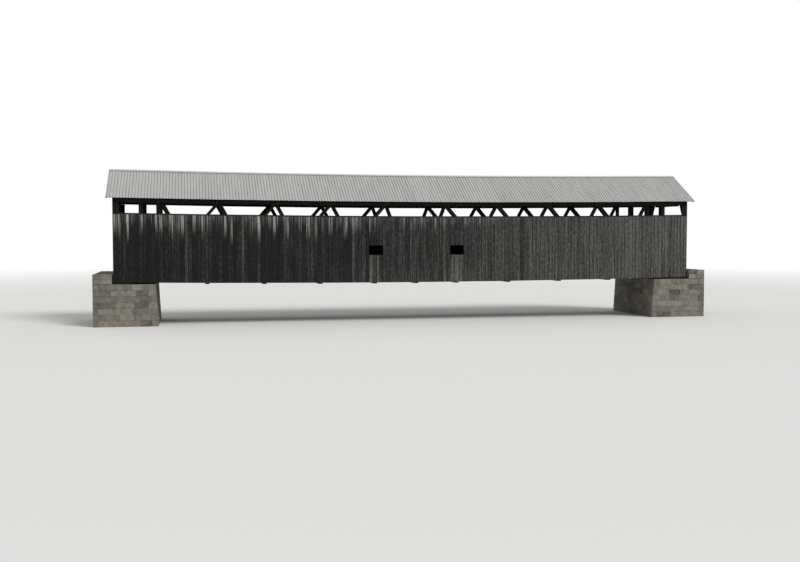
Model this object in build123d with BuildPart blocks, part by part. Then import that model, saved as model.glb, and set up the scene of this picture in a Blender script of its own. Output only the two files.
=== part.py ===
"""Timber covered bridge on stone abutments, with double-intersection trusses.

Millimetres. X runs along the bridge, Y across it with the near side at -Y, and Z is up.
The origin is at the centre of the footprint, at the foot of the abutments.
Heights named here are measured from the lower edge of the wall boards at the bridge's
ends, and every piece of timber follows the sag of the old span.
"""
from build123d import *
from math import atan2, cos, degrees, hypot, radians, sin, tan
import os

# Overall sizes
roof_length = 37180
boards_length = 36460
foot_height = 2600
sag_depth = 160

# Trusses: chords of four leaves with three gaps, and braces that stand in the gaps
truss_spacing = 4760
leaf_width = 100
leaf_gap = 70
lower_chord_depth = 280
upper_chord_depth = 200
lower_chord_low = 180
upper_chord_low = 4730
lower_chord_length = 34000
centre_panel = 3800
panel = 3400
panels_a_side = 4
compression_run = 3890
tension_run = 2470
centre_foot = 200
compression_depth = 190
tension_depth = 230
brace_end_clearance = 5
post_width = 250
end_post_x = 15620
portal_post_x = 16625
stick_length = 9200
stick_joint = 4

# Floor
beam_depth = 250
beam_width = 250
stringer_width = 120
stringer_depth = 250
stringer_count = 6
floor_joint = 6
deck_thickness = 75
deck_side_clearance = 25
deck_end_clearance = 20
lateral_width = 110
lateral_depth = 60

# Top framing and roof
tie_width = 150
tie_depth = 150
plate_width = 140
plate_depth = 120
roof_width = 6308
eave_height = 4948
roof_pitch = 30
rafter_width = 60
rafter_depth = 140
rafters_a_panel = 3
rafters_past_truss = 3
tail_reach = 3060
tail_height = 4935
purlin_width = 100
purlin_depth = 40
purlin_count = 6
sheet_thickness = 12
rib_spacing = 176
rib_base = 60
rib_height = 20
ridge_cap_width = 170
ridge_cap_thickness = 5

# Walls and portals
board_thickness = 28
wall_height = 4022
corner_board_width = 220
girt_thickness = 100
girt_height = 140
girt_levels = (250, 1470, 2430, 3960)
girt_length = 7300
window_inner = 2145
window_width = 875
window_low = 1700
window_height = 590
corner_post_width = 150
jamb_post_width = 100
jamb_post_depth = 60
portal_half_width = 2160
portal_shoulder = 4130
portal_head_half_width = 1740
portal_height = 4950
knee_width = 50
knee_depth = 120
masonry_clearance = 20

# Masonry
abutment_front = 15800
abutment_end = 19400
abutment_width = 6100
abutment_batter = 150
backwall_start = 17200
backwall_width = 5200
wing_start = 18300
bed_timber_starts = (16050, 16650)
bed_timber_width = 250

# Worked out from the sizes above
truss_y = truss_spacing / 2
chord_half = 2 * leaf_width + 1.5 * leaf_gap
chord_inner = truss_y - chord_half
chord_outer = truss_y + chord_half
outer_gap = leaf_gap + leaf_width
boards_inner = chord_outer + girt_thickness
boards_outer = boards_inner + board_thickness
boards_half = boards_length / 2
frame_half = boards_half - board_thickness
roof_half = roof_length / 2
roof_run = roof_width / 2
top_nodes = [centre_panel / 2 + panel * i for i in range(panels_a_side + 1)]
lower_nodes = [x + (compression_run + panel - tension_run + panel) / 2 - panel for x in top_nodes]
lower_centre = lower_chord_low + lower_chord_depth / 2
upper_centre = upper_chord_low + upper_chord_depth / 2
chord_top = upper_chord_low + upper_chord_depth
tie_top = chord_top + tie_depth
plate_top = tie_top + plate_depth
slope = tan(radians(roof_pitch))
purlin_rise = purlin_depth / cos(radians(roof_pitch))
rafter_rise = rafter_depth / cos(radians(roof_pitch))
sheet_rise = sheet_thickness / cos(radians(roof_pitch))
beam_low = lower_chord_low - beam_depth
deck_low = lower_chord_low + stringer_depth
deck_half = backwall_start - deck_end_clearance
kinks = sorted([0, -roof_half, roof_half] + [end * x for x in top_nodes[1::2] for end in (-1, 1)])
beam_places = sorted([0] + [end * x for x in lower_nodes[:-1] for end in (-1, 1)])


def sag(x):
    """Drop of the span at x: a shallow parabola, drawn straight between the kinks."""
    def drop(at):
        return -sag_depth * (1 - (at / roof_half) ** 2)
    after = next((k for k in kinks[1:] if k >= x), kinks[-1])
    before = kinks[kinks.index(after) - 1]
    return drop(before) + (drop(after) - drop(before)) * (x - before) / (after - before)


def sagged(corners):
    """Closed outline through (x, height) corners, bent down with the span."""
    points = []
    for (x, height), (next_x, next_height) in zip(corners, corners[1:] + corners[:1]):
        points.append((x, foot_height + height + sag(x)))
        between = [k for k in kinks if min(x, next_x) + 1 < k < max(x, next_x) - 1]
        for k in sorted(between, reverse=next_x < x):
            level = height + (next_height - height) * (k - x) / (next_x - x)
            points.append((k, foot_height + level + sag(k)))
    return points


def band(start, end, low, high):
    """Outline of a timber that lies along the span."""
    return sagged([(start, low), (end, low), (end, high), (start, high)])


def face(points, plane):
    """Flat face with the given corners, drawn on a plane."""
    with BuildSketch(plane) as drawing:
        with BuildLine():
            Polyline(*points, close=True)
        make_face()
    return drawing.sketch


def upright(y):
    """Plane along the bridge, at a distance from its centre line."""
    return Plane.XZ.offset(-y)


def roof_level(y):
    """Height of the roof sheet's underside at a distance from the centre line."""
    return eave_height + (roof_run - abs(y)) * slope


def down_slope(side):
    """Direction from the ridge to the eave."""
    return (0, side * cos(radians(roof_pitch)), -sin(radians(roof_pitch)))


def along_slope(across):
    """Length on the slope of a distance across the bridge."""
    return across / cos(radians(roof_pitch))


def brace(top_x, foot_x, depth, low=lower_chord_low, high=chord_top):
    """Outline of a straight brace between the chords, cut level just inside them."""
    top = upper_centre + sag(top_x)
    foot = lower_centre + sag(foot_x)
    lean = (top_x - foot_x) / (top - foot)
    half = depth * (1 + lean ** 2) ** 0.5 / 2
    start = low + sag(foot_x) + brace_end_clearance
    end = high + sag(top_x) - brace_end_clearance
    start_x = foot_x + lean * (start - foot)
    end_x = foot_x + lean * (end - foot)
    return [
        (start_x - half, foot_height + start),
        (start_x + half, foot_height + start),
        (end_x + half, foot_height + end),
        (end_x - half, foot_height + end),
    ]


def save(piece, name):
    """Label a finished piece and write it to its own file."""
    piece.label = name
    export_step(piece, f"parts/{name}.step")


def save_sides(near, name):
    """Write a piece of the near side, and its mirror image on the far side."""
    save(near, f"near_{name}")
    save(mirror(near, about=Plane.XZ), f"far_{name}")


def save_ends(right, name):
    """Write a piece of the right end, and its mirror image at the left end."""
    save(right, f"right_{name}")
    save(mirror(right, about=Plane.YZ), f"left_{name}")


def cut_up(places, joint):
    """Starts and ends of the pieces between places, with a joint at each inner one."""
    last = len(places) - 2
    return [
        (start + (joint / 2 if i > 0 else 0), end - (joint / 2 if i < last else 0))
        for i, (start, end) in enumerate(zip(places, places[1:]))
    ]


def sticks(half, length, share=1):
    """Starts and ends of sticks laid end to end from -half to half, the first cut to a share."""
    places = [-half]
    place = -half + length * share
    while place < half - length / 4:
        places.append(place)
        place += length
    return cut_up(places + [half], stick_joint)


def lateral(start, end, height, side, halved=False):
    """Face of a diagonal across one bay, in two halves where it meets the one that crosses it."""
    rise = Vector(end - start, 0, sag(end) - sag(start)).normalized()
    lay = Plane(
        origin=((start + end) / 2, 0, foot_height + height + (sag(start) + sag(end)) / 2),
        x_dir=rise,
        z_dir=rise.cross(Vector(0, 1, 0)),
    )
    along, across = end - start, 2 * chord_inner
    length = hypot(along, across) + 2 * lateral_width
    lean = side * degrees(atan2(across, along))
    with BuildSketch(lay) as drawing:
        with Locations(Rotation(0, 0, lean)):
            Rectangle(length, lateral_width)
        if halved:
            with Locations(Rotation(0, 0, -lean)):
                Rectangle(length, lateral_width, mode=Mode.SUBTRACT)
        Rectangle(along, across, mode=Mode.INTERSECT)
    return drawing.sketch


os.makedirs("parts", exist_ok=True)

# Abutments: a battered stem up to the bridge seat, a backwall up to the road, and short wings
seat_x = bed_timber_starts[0] + bed_timber_width / 2
seat_level = foot_height + beam_low + sag(seat_x)
road_level = foot_height + deck_low + deck_thickness + sag(deck_half)
with BuildPart() as abutment:
    stem = [
        (abutment_front - abutment_batter, 0),
        (abutment_end, 0),
        (abutment_end, seat_level),
        (abutment_front, seat_level),
    ]
    extrude(face(stem, upright(0)), amount=abutment_width / 2, both=True)
save_ends(abutment.part, "abutment")

with BuildPart() as backwall:
    with BuildSketch(upright(0)):
        with Locations((backwall_start, seat_level)):
            Rectangle(abutment_end - backwall_start, road_level - seat_level,
                      align=(Align.MIN, Align.MIN))
    extrude(amount=backwall_width / 2, both=True)
save_ends(backwall.part, "backwall")

wing_width = (abutment_width - backwall_width) / 2
with BuildPart() as wing_walls:
    for side in (-1, 1):
        with BuildSketch(upright(side * (backwall_width + wing_width) / 2)):
            with Locations((wing_start, seat_level)):
                Rectangle(abutment_end - wing_start, road_level - seat_level,
                          align=(Align.MIN, Align.MIN))
        extrude(amount=wing_width / 2, both=True)
save_ends(wing_walls.part, "wing_walls")

with BuildPart() as bed_timbers:
    for start in bed_timber_starts:
        stop = start + bed_timber_width
        timber = [
            (start, seat_level),
            (stop, seat_level),
            (stop, foot_height + lower_chord_low + sag(stop)),
            (start, foot_height + lower_chord_low + sag(start)),
        ]
        extrude(face(timber, upright(0)), amount=chord_outer, both=True)
    mirror(about=Plane.YZ)
save(bed_timbers.part, "bed_timbers")

# Trusses: sticks of the chords break joint from leaf to leaf, and the braces pass between them
leaf_offsets = [(i - 1.5) * (leaf_width + leaf_gap) for i in range(4)]
chords = (
    ("lower_chord", lower_chord_length / 2, lower_chord_low, lower_chord_depth),
    ("upper_chord", frame_half, upper_chord_low, upper_chord_depth),
)
for name, half, low, depth in chords:
    with BuildPart() as chord:
        for i, offset in enumerate(leaf_offsets):
            for start, end in sticks(half, stick_length, (i + 1) / 4):
                leaf = band(start, end, low, low + depth)
                extrude(face(leaf, upright(-truss_y + offset)), amount=leaf_width / 2, both=True)
    save_sides(chord.part, name)

compression_braces = [
    brace(end * x, end * (x + compression_run), compression_depth)
    for x in top_nodes[:-1] for end in (-1, 1)
]
tension_braces = [
    brace(end * x, end * (x - tension_run), tension_depth)
    for x in top_nodes[1:] for end in (-1, 1)
] + [brace(end * top_nodes[0], end * centre_foot, tension_depth) for end in (-1, 1)]
end_posts = [brace(end * end_post_x, end * end_post_x, post_width) for end in (-1, 1)]
portal_side_posts = [
    brace(end * portal_post_x, end * portal_post_x, post_width) for end in (-1, 1)
]
with BuildPart() as compression:
    for outline in compression_braces:
        for offset in (-outer_gap, outer_gap):
            extrude(face(outline, upright(-truss_y + offset)), amount=leaf_gap / 2, both=True)
save_sides(compression.part, "compression_braces")

with BuildPart() as tension:
    for outline in tension_braces:
        extrude(face(outline, upright(-truss_y)), amount=leaf_gap / 2, both=True)
    for outline in end_posts:
        extrude(face(outline, upright(-truss_y)), amount=leaf_gap / 2, both=True,
                mode=Mode.SUBTRACT)
save_sides(tension.part, "tension_braces")

with BuildPart() as posts:
    for outline in end_posts:
        extrude(face(outline, upright(-truss_y)), amount=leaf_gap / 2, both=True)
    for outline in portal_side_posts:
        for offset in (-outer_gap, outer_gap):
            extrude(face(outline, upright(-truss_y + offset)), amount=leaf_gap / 2, both=True)
save_sides(posts.part, "end_posts")

# Floor: beams under the lower chords, stringers from beam to beam, the deck, and laterals below
beams = [band(x - beam_width / 2, x + beam_width / 2, beam_low, lower_chord_low)
         for x in beam_places]
with BuildPart() as floor_beams:
    for beam in beams:
        extrude(face(beam, upright(0)), amount=chord_outer, both=True)
save(floor_beams.part, "floor_beams")

floor_bays = cut_up([-deck_half] + beam_places + [deck_half], floor_joint)
with BuildPart() as stringers:
    reach = chord_inner - deck_side_clearance - stringer_width / 2
    for i in range(stringer_count):
        y = -reach + 2 * reach * i / (stringer_count - 1)
        for start, end in floor_bays:
            stringer = band(start, end, lower_chord_low, deck_low)
            extrude(face(stringer, upright(y)), amount=stringer_width / 2, both=True)
save(stringers.part, "stringers")

with BuildPart() as deck:
    for start, end in floor_bays:
        planking = band(start, end, deck_low, deck_low + deck_thickness)
        extrude(face(planking, upright(0)), amount=chord_inner - deck_side_clearance, both=True)
save(deck.part, "deck")

with BuildPart() as lower_laterals:
    for i, (start, end) in enumerate(zip(beam_places, beam_places[1:])):
        diagonal = lateral(start, end, beam_low + beam_depth / 2, (-1) ** i)
        extrude(diagonal, amount=lateral_depth / 2, both=True)
    for beam in beams:
        extrude(face(beam, upright(0)), amount=chord_outer, both=True, mode=Mode.SUBTRACT)
save(lower_laterals.part, "lower_laterals")

# Top framing: tie beams across the chords, crossed laterals between them, and the wall plates
tie_places = [end * x for x in top_nodes for end in (-1, 1)]
end_ties = [end * (frame_half - tie_width / 2) for end in (-1, 1)]
ties = [band(x - tie_width / 2, x + tie_width / 2, chord_top, tie_top)
        for x in sorted(tie_places + end_ties)]
with BuildPart() as tie_beams:
    for tie in ties:
        extrude(face(tie, upright(0)), amount=chord_outer, both=True)
save(tie_beams.part, "tie_beams")

tie_bays = list(zip(sorted(tie_places), sorted(tie_places)[1:]))
lateral_height = chord_top + tie_depth / 2
for name, side, halved in (("upper_laterals", 1, False), ("upper_lateral_halves", -1, True)):
    with BuildPart() as laterals:
        for start, end in tie_bays:
            diagonal = lateral(start, end, lateral_height, side, halved)
            extrude(diagonal, amount=lateral_depth / 2, both=True)
        for tie in ties:
            extrude(face(tie, upright(0)), amount=chord_outer, both=True, mode=Mode.SUBTRACT)
    save(laterals.part, name)

with BuildPart() as wall_plate:
    for start, end in sticks(frame_half, stick_length):
        plate = band(start, end, tie_top, plate_top)
        extrude(face(plate, upright(-truss_y)), amount=plate_width / 2, both=True)
save_sides(wall_plate.part, "wall_plate")

# Roof: rafters seated on the plates, purlins across them, ribbed sheets and the ridge cap
spans = [(start, end, rafters_a_panel) for start, end in zip(top_nodes, top_nodes[1:])]
spans.append((top_nodes[-1], frame_half, rafters_past_truss))
outer_rafters = [start + (end - start) * (i + 0.5) / count
                 for start, end, count in spans for i in range(count)]
outer_rafters.append(roof_half - rafter_width / 2)
middle_rafters = [centre_panel * ((i + 0.5) / rafters_a_panel - 0.5) for i in range(rafters_a_panel)]
rafter_top = roof_level(0) - purlin_rise
with BuildPart() as rafters:
    for x in middle_rafters + [end * x for x in outer_rafters for end in (-1, 1)]:
        section = band(x - rafter_width / 2, x + rafter_width / 2,
                       rafter_top - rafter_rise, rafter_top)
        extrude(face(section, upright(0)), amount=along_slope(tail_reach), dir=down_slope(-1))
    seat = band(-roof_half, roof_half, tie_top, plate_top)
    extrude(face(seat, upright(-truss_y)), amount=plate_width / 2, both=True, mode=Mode.SUBTRACT)
    tail = band(-roof_half, roof_half, tail_height - 2 * rafter_rise, tail_height)
    extrude(face(tail, upright(-tail_reach)), amount=tail_reach - truss_y, both=True,
            mode=Mode.SUBTRACT)
save_sides(rafters.part, "rafters")

with BuildPart() as purlins:
    for i in range(purlin_count):
        y = -(tail_reach - purlin_width * cos(radians(roof_pitch))) * i / (purlin_count - 1)
        for start, end in sticks(roof_half, stick_length, (i % 3 + 1) / 3):
            section = band(start, end, roof_level(y) - purlin_rise, roof_level(y))
            extrude(face(section, upright(y)), amount=purlin_width, dir=down_slope(-1))
save_sides(purlins.part, "purlins")

sheet_low = roof_level(0)
sheet_top = sheet_low + sheet_rise
roof_bays = cut_up(kinks, stick_joint)
with BuildPart() as roof_sheet:
    for start, end in roof_bays:
        rib_count = round((end - start) / rib_spacing)
        pitch = (end - start) / rib_count
        outline = [(end, sheet_top), (end, sheet_low), (start, sheet_low), (start, sheet_top)]
        for i in range(rib_count):
            middle = start + pitch * (i + 0.5)
            outline += [
                (middle - rib_base / 2, sheet_top),
                (middle, sheet_top + rib_height),
                (middle + rib_base / 2, sheet_top),
            ]
        extrude(face(sagged(outline), upright(0)), amount=along_slope(roof_run), dir=down_slope(-1))
save_sides(roof_sheet.part, "roof_sheet")

cap_low = sheet_top + rib_height
cap_top = cap_low + ridge_cap_thickness / cos(radians(roof_pitch))
with BuildPart() as ridge_cap:
    for start, end in roof_bays:
        cap = face(band(start, end, cap_low, cap_top), upright(0))
        for side in (-1, 1):
            extrude(cap, amount=ridge_cap_width, dir=down_slope(side))
save(ridge_cap.part, "ridge_cap")

# Walls: upright boards with two windows a side, on girts that are packed off the braces
boards_y = (boards_inner + boards_outer) / 2
with BuildPart() as siding:
    extrude(face(band(-frame_half, frame_half, 0, wall_height), upright(-boards_y)),
            amount=board_thickness / 2, both=True)
    for end in (-1, 1):
        start, stop = sorted((end * window_inner, end * (window_inner + window_width)))
        window = band(start, stop, window_low, window_low + window_height)
        extrude(face(window, upright(-boards_y)), amount=board_thickness, both=True,
                mode=Mode.SUBTRACT)
save_sides(siding.part, "siding")

with BuildPart() as corner_boards:
    for end in (-1, 1):
        start, stop = sorted((end * (frame_half - corner_board_width), end * frame_half))
        upper = band(start, stop, wall_height, upper_chord_low)
        extrude(face(upper, upright(-boards_y)), amount=board_thickness / 2, both=True)
    mirror(about=Plane.XZ)
save(corner_boards.part, "corner_boards")

post_inner = frame_half - corner_post_width
girts_y = (chord_outer + boards_inner) / 2
with BuildPart() as girts:
    for i, level in enumerate(girt_levels):
        for start, end in sticks(post_inner, girt_length, (i % 2 + 1) / 2):
            girt = band(start, end, level, level + girt_height)
            extrude(face(girt, upright(-girts_y)), amount=girt_thickness / 2, both=True)
save_sides(girts.part, "girts")

blocks_inner = truss_y + outer_gap + leaf_gap / 2
with BuildPart() as girt_blocks:
    for outline in compression_braces + portal_side_posts:
        for level in girt_levels[1:]:
            with BuildSketch(upright(-(blocks_inner + chord_outer) / 2)):
                with BuildLine():
                    Polyline(*outline, close=True)
                make_face()
                with BuildLine():
                    Polyline(*band(-post_inner, post_inner, level, level + girt_height), close=True)
                make_face(mode=Mode.INTERSECT)
            extrude(amount=(chord_outer - blocks_inner) / 2, both=True)
save_sides(girt_blocks.part, "girt_blocks")

# Portals: posts and knees inside the boards, which leave a way in with clipped corners
end_plane = Plane.YZ.offset(frame_half)
post_top = foot_height + upper_chord_low
with BuildPart() as portal_posts:
    uprights = (
        (boards_inner - corner_post_width / 2, corner_post_width, corner_post_width, seat_level),
        (portal_half_width + jamb_post_width / 2, jamb_post_width, jamb_post_depth, road_level),
    )
    for y, width, depth, foot in uprights:
        inner = frame_half - depth
        post = [
            (inner, foot),
            (frame_half, foot),
            (frame_half, post_top + sag(frame_half)),
            (inner, post_top + sag(inner)),
        ]
        extrude(face(post, upright(y)), amount=width / 2, both=True)
    mirror(about=Plane.XZ)
    mirror(about=Plane.YZ)
save(portal_posts.part, "portal_posts")

base = foot_height + sag(frame_half)
clip = (portal_half_width - portal_head_half_width) / (portal_height - portal_shoulder)
knee_foot = base + portal_shoulder
knee_top = foot_height + chord_top + sag(frame_half - knee_width)
knee_head = portal_half_width - (knee_top - knee_foot) * clip
knee_cut = knee_depth * hypot(1, clip)
knee_outline = [
    (portal_half_width, knee_foot),
    (knee_head, knee_top),
    (knee_head + knee_cut, knee_top),
    (portal_half_width, knee_foot + knee_cut / clip),
]
with BuildPart() as portal_knees:
    extrude(face(knee_outline, end_plane), amount=-knee_width)
    mirror(about=Plane.XZ)
    mirror(about=Plane.YZ)
save(portal_knees.part, "portal_knees")

beside_wall = backwall_width / 2 + masonry_clearance
over_wall = road_level + masonry_clearance
jamb_outline = [
    (beside_wall, base),
    (boards_outer, base),
    (boards_outer, base + portal_shoulder),
    (portal_half_width, base + portal_shoulder),
    (portal_half_width, over_wall),
    (beside_wall, over_wall),
]
with BuildPart() as jamb_boards:
    extrude(face(jamb_outline, end_plane), amount=board_thickness)
    mirror(about=Plane.XZ)
    mirror(about=Plane.YZ)
save(jamb_boards.part, "jamb_boards")

roof_edge = base + roof_level(boards_outer) - purlin_rise
end_wall = face(
    [
        (-boards_outer, base),
        (boards_outer, base),
        (boards_outer, roof_edge),
        (0, base + roof_level(0) - purlin_rise),
        (-boards_outer, roof_edge),
    ],
    end_plane,
)
corner_outline = [
    (portal_half_width, base + portal_shoulder),
    (boards_outer, base + portal_shoulder),
    (boards_outer, base + portal_height),
    (portal_head_half_width, base + portal_height),
]
with BuildPart() as portal_corner_boards:
    extrude(face(corner_outline, end_plane), amount=board_thickness)
    mirror(about=Plane.XZ)
    extrude(end_wall, amount=board_thickness, mode=Mode.INTERSECT)
    mirror(about=Plane.YZ)
save(portal_corner_boards.part, "portal_corner_boards")

with BuildPart() as gable_boards:
    extrude(end_wall, amount=board_thickness)
    with BuildSketch(end_plane):
        with Locations((0, base)):
            Rectangle(2 * boards_outer, portal_height, align=(Align.CENTER, Align.MIN))
    extrude(amount=board_thickness, mode=Mode.SUBTRACT)
    mirror(about=Plane.YZ)
save(gable_boards.part, "gable_boards")
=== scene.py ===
"""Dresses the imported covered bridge: boards, timbers, sheets, stones, finishes, light and camera.

Metres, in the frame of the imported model: X along the bridge, the near side at -Y, Z up. What a
sheet of the frame gives, such as the walls' place or the sag, is read from it, and sizes that only
the dressing has, such as a board's width, are fields of the classes.
"""
import logging
import math
import random
from dataclasses import dataclass
from enum import Enum
from typing import Any, Callable, Iterable, Iterator, Sequence

import bmesh
import bpy
from bmesh.types import BMEdge, BMesh, BMFace, BMVert
from bpy.types import ID, Material, Node, NodeSocket, NodeTree, Object
from mathutils import Matrix, Vector


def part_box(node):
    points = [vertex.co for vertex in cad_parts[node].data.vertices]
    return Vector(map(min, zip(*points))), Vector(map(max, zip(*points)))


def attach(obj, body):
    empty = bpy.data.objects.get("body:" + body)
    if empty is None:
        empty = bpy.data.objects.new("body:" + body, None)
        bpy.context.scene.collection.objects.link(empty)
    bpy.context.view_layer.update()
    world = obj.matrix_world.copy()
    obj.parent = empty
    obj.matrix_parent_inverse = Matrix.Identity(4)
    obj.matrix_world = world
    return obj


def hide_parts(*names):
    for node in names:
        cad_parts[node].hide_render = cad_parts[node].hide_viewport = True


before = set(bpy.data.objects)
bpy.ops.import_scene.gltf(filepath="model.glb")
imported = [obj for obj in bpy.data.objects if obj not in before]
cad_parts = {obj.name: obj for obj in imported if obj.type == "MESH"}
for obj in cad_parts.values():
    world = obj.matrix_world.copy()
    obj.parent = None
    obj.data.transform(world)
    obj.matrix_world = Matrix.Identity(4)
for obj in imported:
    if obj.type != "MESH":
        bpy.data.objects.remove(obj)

Pair = tuple[float, float]
Triple = tuple[float, float, float]

LOG = logging.getLogger("covered_bridge")
BODY = "root"
ROOF_PITCH = math.radians(30)
BOARD_THICKNESS = (0.023, 0.028)
UPRIGHT = Vector((0, 0, 1))
WELD = 0.0001
GRAIN_SHIFT = 60

# A face looks along a direction if its normal lies at least this far along it
FACING = 0.7

# Sockets of a colour Mix node, which are found by number
MIX_A = 6
MIX_B = 7
MIX_RESULT = 2


class Opposite(Enum):
    """Two opposite places, each with the sign of its coordinate."""

    @property
    def word(self) -> str:
        """Name of the place as the frame's nodes write it."""
        return self.name.lower()


class Side(Opposite):
    """Long sides of the bridge, with the sign of their Y."""

    NEAR = -1
    FAR = 1


class End(Opposite):
    """Ends of the bridge, with the sign of their X."""

    LEFT = -1
    RIGHT = 1


class Slot(Enum):
    """Material slots of the record."""

    BOARDS = "wall_boards"
    TIMBER = "frame_timber"
    PLANKS = "deck_planks"
    METAL = "roof_metal"
    STONE = "cut_stone"


def linear(colour: str) -> tuple[float, float, float, float]:
    """Turn an sRGB hex colour into the linear values that a shader takes.

    Args:
        colour: Six hex digits with a leading #.

    Returns:
        Red, green, blue and alpha.
    """
    parts = [int(colour[i:i + 2], 16) / 255 for i in (1, 3, 5)]
    red, green, blue = (p / 12.92 if p <= 0.04045 else ((p + 0.055) / 1.055) ** 2.4 for p in parts)
    return red, green, blue, 1.0


def add_node(tree: NodeTree, kind: str, inputs: dict[Any, Any] | None = None, **settings: Any) -> Node:
    """Add one node with its settings, its values and its links.

    Args:
        tree: Node tree that gets the node.
        kind: Type name of the node.
        inputs: Value, or output socket to link, for each input named or numbered.
        settings: Properties of the node itself.

    Returns:
        The new node.
    """
    node = tree.nodes.new(kind)
    for name, value in settings.items():
        setattr(node, name, value)
    for key, value in (inputs or {}).items():
        if isinstance(value, NodeSocket):
            tree.links.new(value, node.inputs[key])
        else:
            node.inputs[key].default_value = value
    return node


def new_material(name: str) -> tuple[Material, NodeTree]:
    """Make an empty node material.

    Args:
        name: Name of the finish.

    Returns:
        The material and its node tree.
    """
    material = bpy.data.materials.new(name)
    material.use_nodes = True
    material.node_tree.nodes.clear()
    return material, material.node_tree


def attribute(tree: NodeTree, name: str) -> NodeSocket:
    """Value that the faces of a piece carry under a name."""
    return add_node(tree, "ShaderNodeAttribute", attribute_name=name).outputs["Fac"]


def object_place(tree: NodeTree) -> NodeSocket:
    """Place in the object's own space."""
    return add_node(tree, "ShaderNodeTexCoord").outputs["Object"]


def scaled(tree: NodeTree, place: NodeSocket, *sizes_mm: float) -> NodeSocket:
    """Scale metre coordinates so that a pattern gets features of the given sizes in millimetres."""
    scale = Vector([1000 / size for size in sizes_mm] + [1.0] * (3 - len(sizes_mm)))
    return add_node(tree, "ShaderNodeVectorMath", {0: place, 1: scale},
                    operation="MULTIPLY").outputs["Vector"]


def noise(tree: NodeTree, place: NodeSocket, detail: float, scale: float = 1.0,
          roughness: float = 0.6) -> NodeSocket:
    """Noise between 0 and 1 at a place."""
    return add_node(tree, "ShaderNodeTexNoise", {
        "Vector": place, "Scale": scale, "Detail": detail, "Roughness": roughness,
    }).outputs["Fac"]


def combine(tree: NodeTree, operation: str, *values: Any, clamp: bool = False) -> NodeSocket:
    """Work out one value from others.

    Args:
        tree: Node tree that gets the node.
        operation: Operation of the Math node.
        values: Its operands, each a number or a socket.
        clamp: Whether the result is held between 0 and 1.

    Returns:
        The result.
    """
    return add_node(tree, "ShaderNodeMath", dict(enumerate(values)), operation=operation,
                    use_clamp=clamp).outputs["Value"]


def layered(tree: NodeTree, base: NodeSocket, parts: Iterable[tuple[NodeSocket, float]]
            ) -> NodeSocket:
    """Add patterns to a value, each by its share."""
    for part, share in parts:
        base = combine(tree, "MULTIPLY_ADD", part, share, base)
    return base


def ramp(tree: NodeTree, value: NodeSocket, start: Any, end: Any, low: float = 0.0,
         high: float = 1.0, smooth: bool = False) -> NodeSocket:
    """Map one range of a value to another, and hold it at both ends.

    Args:
        tree: Node tree that gets the node.
        value: Value that is mapped.
        start: Value that gives the low end of the result.
        end: Value that gives its high end.
        low: Low end of the result.
        high: High end of the result.
        smooth: Whether the ends are eased.

    Returns:
        The mapped value.
    """
    return add_node(tree, "ShaderNodeMapRange", {
        "Value": value, "From Min": start, "From Max": end, "To Min": low, "To Max": high,
    }, interpolation_type="SMOOTHSTEP" if smooth else "LINEAR").outputs["Result"]


def blend(tree: NodeTree, share: NodeSocket, first: Any, second: Any) -> NodeSocket:
    """Mix two colours, each a socket or a hex colour, by the share of the second."""
    first, second = (linear(item) if isinstance(item, str) else item for item in (first, second))
    return add_node(tree, "ShaderNodeMix", {"Factor": share, MIX_A: first, MIX_B: second},
                    data_type="RGBA").outputs[MIX_RESULT]


def surface(tree: NodeTree, colour: NodeSocket, relief: NodeSocket, strength: float, depth: float,
            looks: dict[str, float]) -> None:
    """End a material with its bump, its shader and its output.

    Args:
        tree: Node tree of the material.
        colour: Base colour.
        relief: Height of the bump.
        strength: Strength of the bump.
        depth: Metres between the bump's low and high.
        looks: Other inputs of the shader.
    """
    bump = add_node(tree, "ShaderNodeBump", {"Height": relief, "Strength": strength, "Distance": depth})
    shader = add_node(tree, "ShaderNodeBsdfPrincipled",
                      {"Base Color": colour, "Normal": bump.outputs["Normal"], **looks})
    add_node(tree, "ShaderNodeOutputMaterial", {"Surface": shader.outputs["BSDF"]})


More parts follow.
